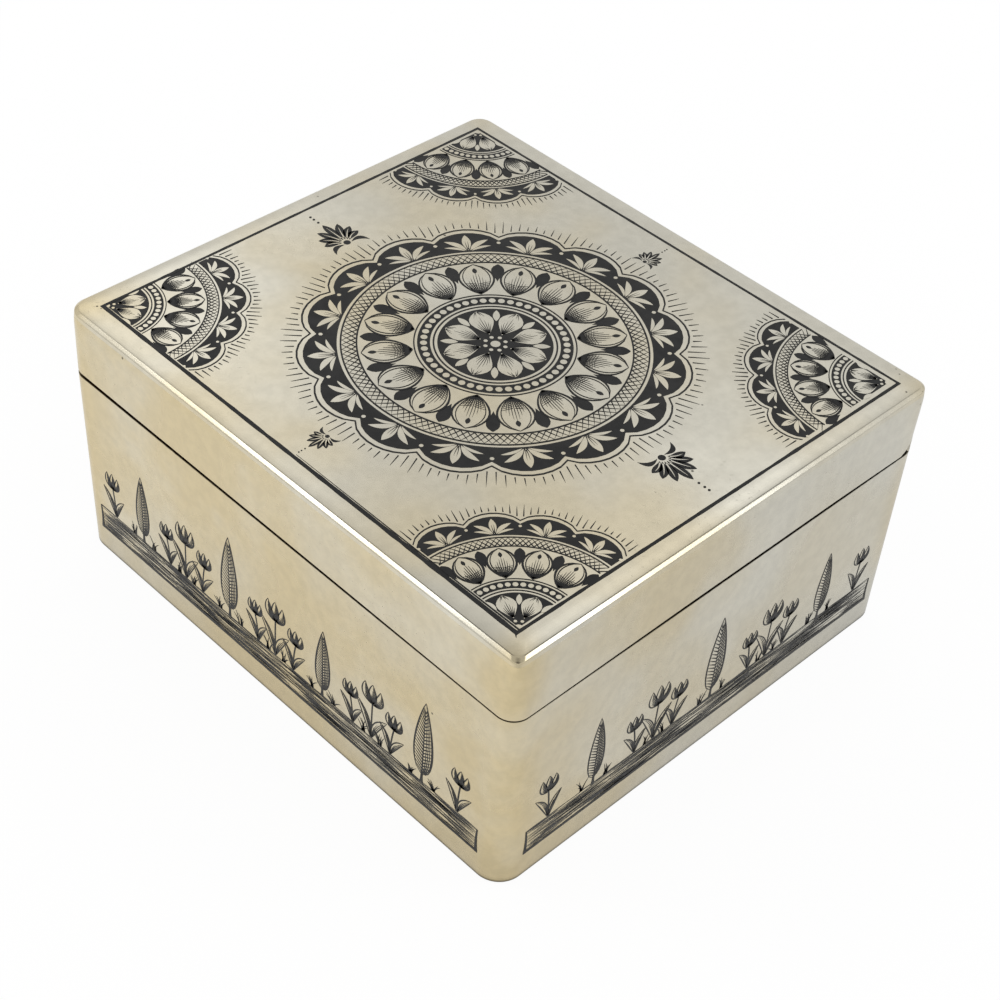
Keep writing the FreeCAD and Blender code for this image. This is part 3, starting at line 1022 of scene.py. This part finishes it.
def tarnish_group():
    """Clouds on old silver: Warm is the yellow film, Bloom the pale patches left by polish, Grain a fine
    mottling."""
    outputs = {"Warm": FLOAT, "Bloom": FLOAT, "Grain": FLOAT}
    group, given, put = new_group("tarnish", PLACE_ONLY, outputs)
    place = given["Vector"]
    film = noise(group, moved(group, place, (0.31, 0.12, 0.07)), scale=34, detail=2, roughness=0.5)
    group.links.new(ease(group, film, low=0.36, high=0.66), put["Warm"])
    patches = noise(group, moved(group, place, (0.9, 0.4, 0.2)), scale=58)
    group.links.new(ease(group, patches, low=0.48, high=0.72), put["Bloom"])
    group.links.new(noise(group, place, scale=520, roughness=0.6), put["Grain"])
    return group


# Two directions of polishing scratches: turn, and features to a metre along and across
SCRATCHES = (((0.2, 0.3, 0.6), (60, 2600, 2600)), ((0.9, 0.5, -0.8), (45, 2100, 2100)))


def scratches_group():
    """Fine polishing scratches: noise stretched along two slanting directions, cut to thin lines in
    patches."""
    group, given, put = new_group("scratches", PLACE_ONLY, {"Mask": FLOAT})
    place = given["Vector"]
    lines = []
    for turn, scale in SCRATCHES:
        turned = mapped(group, place, (1, 1, 1), turn)
        streaks = noise(group, mapped(group, turned, scale), scale=1, detail=1, roughness=0.5)
        lines.append(ease(group, streaks, low=0.68, high=0.76))
    patches = noise(group, moved(group, place, (0.2, 0.7, 0.5)), scale=55, detail=2)
    where = ease(group, patches, low=0.45, high=0.62)
    both = calc(group, "MAXIMUM", lines[0], lines[1])
    group.links.new(times(group, both, where), put["Mask"])
    return group


# Knocks near the lid's left front and right rear corners, in metres
KNOCKED_SPOTS = ((-0.0468, -0.0395, 0.0477), (0.0478, 0.0420, 0.0474))


def dots(tree, place, scale, outer, inner, empty):
    """Round dots in the middles of scattered cells, of which the empty share has none."""
    cells = add(tree, "ShaderNodeTexVoronoi", {"Vector": place, "Scale": scale})
    spots = ease(tree, cells.outputs["Distance"], outer, inner)
    chance = add(tree, "ShaderNodeSeparateColor", {0: cells.outputs["Color"]}).outputs[0]
    return times(tree, spots, calc(tree, "GREATER_THAN", chance, empty))


def pits_group():
    """Tiny black pits: a few on the whole surface, and many finer ones within reach of the knocked spots."""
    group, given, put = new_group("pits", PLACE_ONLY, {"Mask": FLOAT})
    place = given["Vector"]
    away = 1.0
    for spot in KNOCKED_SPOTS:
        away = calc(group, "MINIMUM", from_spot(group, place, spot), away)
    few = dots(group, place, scale=230, outer=0.07, inner=0.03, empty=0.9)
    fine = dots(group, place, scale=800, outer=0.18, inner=0.11, empty=0.3)
    many = times(group, fine, ease(group, away, low=0.006, high=0.002))
    group.links.new(calc(group, "MAXIMUM", few, many), put["Mask"])
    return group


# Painted reflection on the yellow film: stronger towards the front and at the upright corners, weaker on the
# right; in metres, and by how much
FRONT_PAINTED_WARMTH = {"low": 0.045, "high": -0.046, "to_low": -0.28, "to_high": 0.30}
RIGHT_PAINTED_COOLING = {"low": 0.040, "high": 0.0499, "to_low": 0.0, "to_high": -0.12}
CORNER_PAINTED_WARMTH = {"low": -0.008, "high": -0.001, "to_low": 0.0, "to_high": 0.34}


def warmth_share(group, given, film):
    """Share of the yellow tone: the given warmth, with painted reflection making it more at the front and the
    upright corners and less on the right, and uneven by the film."""
    parts = apart(group, given["Vector"])
    # Painted reflection: warmer towards the front and at the upright corners, cooler on the right
    front = ease(group, parts["Y"], **FRONT_PAINTED_WARMTH)
    front = plus(group, front, ease(group, parts["X"], **RIGHT_PAINTED_COOLING))
    front = times(group, front, given["Front"])
    sideways = minus(group, calc(group, "ABSOLUTE", parts["X"]), HALF_X * MM)
    endways = minus(group, calc(group, "ABSOLUTE", parts["Y"]), HALF_Y * MM)
    corner = ease(group, calc(group, "MINIMUM", sideways, endways), **CORNER_PAINTED_WARMTH)
    warm = plus(group, given["Warmth"], plus(group, front, corner))
    warm = plus(group, warm, times(group, minus(group, film, 0.5), 0.42))
    return ease(group, warm, low=-0.1, high=1.1)


def old_silver_group(tarnish, scratches, pits):
    """Hand-finished silver: a neutral and a yellow tone mixed by the film, which a painted reflection makes
    stronger at the front, pale bloom, fine mottling, pits and scratches. Height bands of painted shade, and a
    darkening round the hinge axis, are added by the materials."""
    inputs = {**PLACE_ONLY, "Warmth": (FLOAT, 0.4), "Front": (FLOAT, 1.0), "Polish": (FLOAT, 0.24)}
    outputs = {"Color": COLOR, "Roughness": FLOAT, "Normal": VECTOR}
    group, given, put = new_group("old_silver", inputs, outputs)
    place = given["Vector"]
    film = used(group, tarnish, Vector=place)
    cuts = used(group, scratches, Vector=place)["Mask"]
    spots = used(group, pits, Vector=place)["Mask"]
    warm = warmth_share(group, given, film["Warm"])
    tone = blend(group, warm, SILVER_NEUTRAL, SILVER_YELLOW)
    tone = blend(group, times(group, film["Bloom"], 0.28), tone, SILVER_BLOOM)
    grain = ease(group, film["Grain"], low=0.3, high=0.7, to_low=0.96, to_high=1.04)
    tone = add(group, "ShaderNodeVectorMath", {0: tone, "Scale": grain}, operation="SCALE").outputs[0]
    tone = blend(group, times(group, cuts, 0.14), tone, SCRATCH_GREY)
    tone = blend(group, times(group, spots, 0.85), tone, PIT_BLACK)
    group.links.new(tone, put["Color"])
    rough = plus(group, given["Polish"], times(group, film["Warm"], 0.06))
    rough = plus(group, rough, times(group, cuts, 0.08))
    group.links.new(rough, put["Roughness"])
    broad = bump(group, noise(group, place, scale=46, detail=2), SILVER_WAVES)
    relief = minus(group, film["Grain"], times(group, cuts, 0.8))
    group.links.new(bump(group, relief, SILVER_GRAIN, broad), put["Normal"])
    return group


def new_material(name):
    """Material with its tree and its Principled shader."""
    material = bpy.data.materials.new(name)
    material.use_nodes = True
    tree = material.node_tree
    return material, tree, tree.nodes["Principled BSDF"]


def object_place(tree):
    """Object coordinates, which are the box's own."""
    return add(tree, "ShaderNodeTexCoord").outputs["Object"]


# Where the painted shade at the parting line is weaker, round the right front corner: a spot and its reach in
# metres, and the share of that shade kept there
SHADE_WEAK_SPOT = (HALF_X * MM, -HALF_Y * MM, BODY_HIGH[2] * MM)
SHADE_WEAK_REACH = (0.008, 0.036)
SHADE_WEAK_LEFT = 0.45
DARKENING_RAGGED = 0.12  # how uneven the edge of a dark line is (painted shade, and the hinge's darkening), in millimetres


def silver(name, group, warmth, polish, darkening=(), front=1.0):
    """Old silver, with dark lines round the box given by height in millimetres, reach and strength: painted
    shade, apart from the darkening round the hinge axis, and weaker near the spot where the parting line's
    painted shade is weak. front tells how much warmer the front is than the back, and the right cooler, by
    painted reflection."""
    material, tree, shader = new_material(name)
    place = object_place(tree)
    metal = used(tree, group, Vector=place, Warmth=warmth, Front=front, Polish=polish)
    tone = metal["Color"]
    if darkening:
        height = apart(tree, place)["Z"]
        ragged = times(tree, noise(tree, place, scale=900, detail=2), DARKENING_RAGGED * MM)
        # The painted shade is weaker round the right front corner
        kept_share = ease(tree, from_spot(tree, place, SHADE_WEAK_SPOT), *SHADE_WEAK_REACH, to_low=SHADE_WEAK_LEFT)
        for level, reach, strength in darkening:
            away = calc(tree, "ABSOLUTE", minus(tree, height, level * MM))
            away = plus(tree, away, ragged)
            line = times(tree, ease(tree, away, low=reach * MM, high=0.0, to_high=strength), kept_share)
            tone = blend(tree, line, tone, DARKENING_BROWN)
    tree.links.new(tone, shader.inputs["Base Color"])
    tree.links.new(metal["Roughness"], shader.inputs["Roughness"])
    tree.links.new(metal["Normal"], shader.inputs["Normal"])
    shader.inputs["Metallic"].default_value = 1
    return material


def niello_black(name, grain):
    """Black niello polished flush: near black, uneven in gloss, with lighter rubbed places."""
    material, tree, shader = new_material(name)
    place = object_place(tree)
    rubbed = ease(tree, noise(tree, place, scale=160, detail=4, roughness=0.6), low=0.45, high=0.72)
    fine = used(tree, grain, Vector=place)["Grain"]
    tone = blend(tree, rubbed, NIELLO_BLACK, NIELLO_RUBBED)
    tree.links.new(tone, shader.inputs["Base Color"])
    rough = ease(tree, fine, low=0.3, high=0.7, to_low=0.30, to_high=0.46)
    tree.links.new(rough, shader.inputs["Roughness"])
    tree.links.new(bump(tree, fine, NIELLO_GRAIN), shader.inputs["Normal"])
    shader.inputs["Specular IOR Level"].default_value = 0.35
    return material


# Features to a metre along and across the wood's grain
CEDAR_BANDS = (9, 95, 95)
CEDAR_LINES = (22, 720, 720)
CEDAR_PORES = (260, 3600, 3600)


def cedar_group():
    """Cedar with its grain along X: dark and light bands, thin late-wood lines and short pores."""
    outputs = {"Color": COLOR, "Roughness": FLOAT, "Height": FLOAT}
    group, given, put = new_group("cedar_grain", PLACE_ONLY, outputs)
    place = given["Vector"]
    bands = noise(group, mapped(group, place, CEDAR_BANDS), scale=1, detail=4)
    lines = noise(group, mapped(group, place, CEDAR_LINES), scale=1, roughness=0.6)
    specks = noise(group, mapped(group, place, CEDAR_PORES), scale=1, detail=1)
    pores = ease(group, specks, low=0.62, high=0.74)
    tone = blend(group, ease(group, bands, low=0.32, high=0.68), CEDAR_DARK, CEDAR_LIGHT)
    tone = blend(group, ease(group, lines, low=0.52, high=0.66, to_high=0.55), tone, CEDAR_LATE)
    tone = blend(group, times(group, pores, 0.5), tone, CEDAR_PORE)
    group.links.new(tone, put["Color"])
    rough = ease(group, lines, low=0.3, high=0.7, to_low=0.66, to_high=0.54)
    group.links.new(rough, put["Roughness"])
    group.links.new(minus(group, lines, pores), put["Height"])
    return group


def cedar(name, group, turn):
    """Planed cedar board, its grain turned from the X direction."""
    material, tree, shader = new_material(name)
    place = mapped(tree, object_place(tree), (1, 1, 1), turn)
    wood = used(tree, group, Vector=place)
    tree.links.new(wood["Color"], shader.inputs["Base Color"])
    tree.links.new(wood["Roughness"], shader.inputs["Roughness"])
    tree.links.new(bump(tree, wood["Height"], CEDAR_GRAIN), shader.inputs["Normal"])
    shader.inputs["Specular IOR Level"].default_value = 0.3
    return material


def drawn_steel(name):
    """Drawn wire: fine lines along X in brightness and roughness."""
    material, tree, shader = new_material(name)
    lines = noise(tree, mapped(tree, object_place(tree), (40, 5200, 5200)), scale=1)
    tone = blend(tree, ease(tree, lines, low=0.3, high=0.7), STEEL_DARK, STEEL_LIGHT)
    tree.links.new(tone, shader.inputs["Base Color"])
    rough = ease(tree, lines, low=0.3, high=0.7, to_low=0.28, to_high=0.42)
    tree.links.new(rough, shader.inputs["Roughness"])
    tree.links.new(bump(tree, lines, STEEL_GRAIN), shader.inputs["Normal"])
    shader.inputs["Metallic"].default_value = 1
    return material


def dress_node(name, material):
    """Material for a CAD node that stays in view."""
    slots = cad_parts[name].data.materials
    slots.clear()
    slots.append(material)


# Stage


FLOOR_SIZE = 4.0
FLOOR_SHOWN = 0.88  # share of plain white that the camera sees, and that mirrors and glass see
FLOOR_MIRRORED = 0.45
FLOOR_WHITE = 1.06  # strength of that white for the camera
# For mirrors it falls off from the front left to the back right: X plus Y in metres, and strengths
FLOOR_FALL = {"low": -0.13, "high": 0.15, "to_low": 1.27, "to_high": 0.93}


def make_floor():
    """Wide floor that keeps a soft shadow: partly plain white for the camera, mirrors and glass, otherwise
    matt."""
    mesh = bpy.data.meshes.new("floor")
    corners = [(-FLOOR_SIZE, -FLOOR_SIZE, 0), (FLOOR_SIZE, -FLOOR_SIZE, 0),
               (FLOOR_SIZE, FLOOR_SIZE, 0), (-FLOOR_SIZE, FLOOR_SIZE, 0)]
    mesh.from_pydata(corners, [], [(0, 1, 2, 3)])
    floor = bpy.data.objects.new("floor", mesh)
    bpy.context.scene.collection.objects.link(floor)
    material = bpy.data.materials.new("floor_white")
    material.use_nodes = True
    tree = material.node_tree
    tree.nodes.clear()
    path = add(tree, "ShaderNodeLightPath").outputs
    mirrored = calc(tree, "MAXIMUM", path["Is Glossy Ray"], path["Is Transmission Ray"])
    shown = times(tree, path["Is Camera Ray"], FLOOR_SHOWN)
    share = calc(tree, "MAXIMUM", shown, times(tree, mirrored, FLOOR_MIRRORED))
    place = apart(tree, object_place(tree))
    fall_off = ease(tree, plus(tree, place["X"], place["Y"]), **FLOOR_FALL)
    levels = {0: path["Is Camera Ray"], 2: fall_off, 3: FLOOR_WHITE}
    strength = add(tree, "ShaderNodeMix", levels).outputs[0]
    matt = add(tree, "ShaderNodeBsdfDiffuse", {"Color": FLOOR_GREY})
    white = add(tree, "ShaderNodeEmission", {"Color": WHITE, "Strength": strength})
    mixed = add(tree, "ShaderNodeMixShader", {0: share, 1: matt.outputs[0], 2: white.outputs[0]})
    add(tree, "ShaderNodeOutputMaterial", {0: mixed.outputs[0]})
    mesh.materials.append(material)


# Brightness of the sky by the sine of the height above the horizon
SKY_STOPS = ((0.0, 0.52), (0.14, 0.58), (0.30, 0.74), (0.62, 0.67), (0.78, 0.65), (0.88, 0.50), (1.0, 0.58))
# Round patches of the sky: direction, inner and outer angle in degrees, brightness
SKY_PATCHES = (
    ((-0.35, 0.59, 0.727), 2, 9, 1.2),
    ((-0.68, 0.38, 0.625), 3, 11, 1.2),
    ((-0.46, 0.02, 0.885), 5, 13, 0.06),
    ((0.06, 0.57, 0.82), 5, 13, 0.06),
    ((0.272, -0.238, 0.930), 7, 17, 0.04),
    ((0.49, -0.46, 0.74), 6, 16, 0.10),
)


def sky_patch(tree, heading, sky, direction, inner, outer, level):
    """Sky with a round patch of another brightness, soft between two angles in degrees about a direction."""
    toward = tuple(Vector(direction).normalized())
    dot = add(tree, "ShaderNodeVectorMath", {0: heading, 1: toward}, operation="DOT_PRODUCT")
    cosine = dot.outputs["Value"]
    share = ease(tree, cosine, math.cos(math.radians(outer)), math.cos(math.radians(inner)))
    return blend(tree, share, sky, (level, level, level, 1))


def make_world():
    """White to the camera; a soft studio sky for light and reflections, brighter or darker by height and in
    patches: two bright ones behind and on the left, three dark ones overhead, and a dark one where the camera
    stands."""
    world = bpy.data.worlds.new("studio")
    bpy.context.scene.world = world
    world.use_nodes = True
    tree = world.node_tree
    tree.nodes.clear()
    heading = add(tree, "ShaderNodeTexCoord").outputs["Generated"]
    height = apart(tree, heading)["Z"]
    ramp = add(tree, "ShaderNodeValToRGB", {0: height})
    for index, (place, level) in enumerate(SKY_STOPS):
        stops = ramp.color_ramp.elements
        element = stops[index] if index < 2 else stops.new(place)
        element.position = place
        element.color = (level, level, level, 1)
    sky = ramp.outputs[0]
    for direction, inner, outer, level in SKY_PATCHES:
        sky = sky_patch(tree, heading, sky, direction, inner, outer, level)
    camera = add(tree, "ShaderNodeLightPath").outputs["Is Camera Ray"]
    shown = blend(tree, camera, sky, WHITE)
    background = add(tree, "ShaderNodeBackground", {"Color": shown, "Strength": 1.0})
    add(tree, "ShaderNodeOutputWorld", {0: background.outputs[0]})


# Soft boxes: direction and power
LAMPS = {
    "soft_box_front_left": ((-0.52, -0.44, 0.73), 0.30),
    "soft_box_back_right": ((0.536, 0.488, 0.688), 0.25),
}
LAMP_DISTANCE = 0.9
LAMP_SIZE = 0.18


def make_lamp(name, direction, power):
    """Square soft box that faces the object."""
    data = bpy.data.lights.new(name, "AREA")
    data.size = LAMP_SIZE
    data.energy = power
    lamp = bpy.data.objects.new(name, data)
    bpy.context.scene.collection.objects.link(lamp)
    away = Vector(direction).normalized()
    lamp.location = away * LAMP_DISTANCE
    lamp.rotation_euler = away.to_track_quat("Z", "Y").to_euler()


# Camera in the photograph's place; distances in millimetres
CAMERA_AZIMUTH = math.radians(43.034)
CAMERA_ELEVATION = math.radians(42.223)
CAMERA_ROLL = math.radians(4.375)
CAMERA_DISTANCE = 329.893
CAMERA_TARGET = (0.542, 2.817, 14.44)
CAMERA_LENS = 72.19
CAMERA_SENSOR = 36
CAMERA_CLIP = (0.01, 50)  # in metres


def make_camera():
    """Camera on a sphere about its target, rolled a little about its own axis."""
    data = bpy.data.cameras.new("camera")
    data.lens = CAMERA_LENS
    data.sensor_width = CAMERA_SENSOR
    camera = bpy.data.objects.new("camera", data)
    bpy.context.scene.collection.objects.link(camera)
    turn = Euler((math.pi / 2 - CAMERA_ELEVATION, 0, CAMERA_AZIMUTH)).to_matrix().to_4x4()
    turn = turn @ Matrix.Rotation(CAMERA_ROLL, 4, "Z")
    place = Vector(CAMERA_TARGET) * MM + turn.to_3x3() @ Vector((0, 0, CAMERA_DISTANCE * MM))
    camera.matrix_world = Matrix.Translation(place) @ turn
    data.clip_start, data.clip_end = CAMERA_CLIP
    bpy.context.scene.camera = camera


PARTING = (BODY_HIGH[2] + RIM_LOW[2]) / 2
# Dark lines of painted shade: height, reach and strength. The band has them at the parting line and its rim,
# where the gap lies in shadow, at its seam, a dark joint with painted shade, and darker towards its foot.
BAND_PAINTED_SHADE = (
    (PARTING, 0.32, 0.9),
    (BODY_HIGH[2], 0.22, 0.88),
    (BASE_HIGH[2], 0.22, 0.35),
    (BASE_LOW[2], 13.0, 0.13),
)
# The base's lowest edge: a dark line of painted shadow where it stands on the floor.
BASE_PAINTED_SHADOW = ((BASE_LOW[2], 1.15, 0.92),)
# The hinge: darker towards its axis.
HINGE_DARKENING = ((AXIS_Z, 2.2, 0.35),)


def build_box():
    """Every piece with its material."""
    tarnish = tarnish_group()
    metal = old_silver_group(tarnish, scratches_group(), pits_group())
    wood = cedar_group()
    band_silver = silver("silver_band", metal, warmth=0.42, polish=0.22, darkening=BAND_PAINTED_SHADE)
    top_silver = silver("silver_top", metal, warmth=0.33, polish=0.18, front=0.15)
    base_silver = silver("silver_base", metal, warmth=0.42, polish=0.27, darkening=BASE_PAINTED_SHADOW)
    hinge_silver = silver("silver_hinge", metal, warmth=0.55, polish=0.33, darkening=HINGE_DARKENING)
    inner_silver = silver("silver_inner", metal, warmth=0.36, polish=0.36)
    niello = niello_black("niello", tarnish)
    body_skin(band_silver)
    lid_band_skin(band_silver)
    base_skin(base_silver)
    lid_plate_skin(top_silver)
    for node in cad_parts:
        if "knuckle" in node:
            knuckle_skin(node, hinge_silver)
    lid_border(niello)
    lid_engraving(top_silver, niello)
    for seed, name in enumerate(SIDES):
        side_engraving(name, niello, seed)
    for node in ("body_hinge_bearer", "lid_hinge_bearer"):
        dress_node(node, inner_silver)
    for node in ("hinge_plug_left", "hinge_plug_right"):
        dress_node(node, hinge_silver)
    dress_node("hinge_pin", drawn_steel("pin_wire"))
    along = cedar("cedar_along_front", wood, (0, 0, 0))
    across = cedar("cedar_front_to_back", wood, (0, 0, TURN / 4))
    for node in ("lining_floor", "lining_front", "lining_back"):
        dress_node(node, along)
    for node in ("lining_left", "lining_right", "lining_divider"):
        dress_node(node, across)


build_box()
make_floor()
make_world()
for lamp_name, (lamp_direction, lamp_power) in LAMPS.items():
    make_lamp(lamp_name, lamp_direction, lamp_power)
make_camera()
bpy.context.scene.view_settings.view_transform = "Standard"
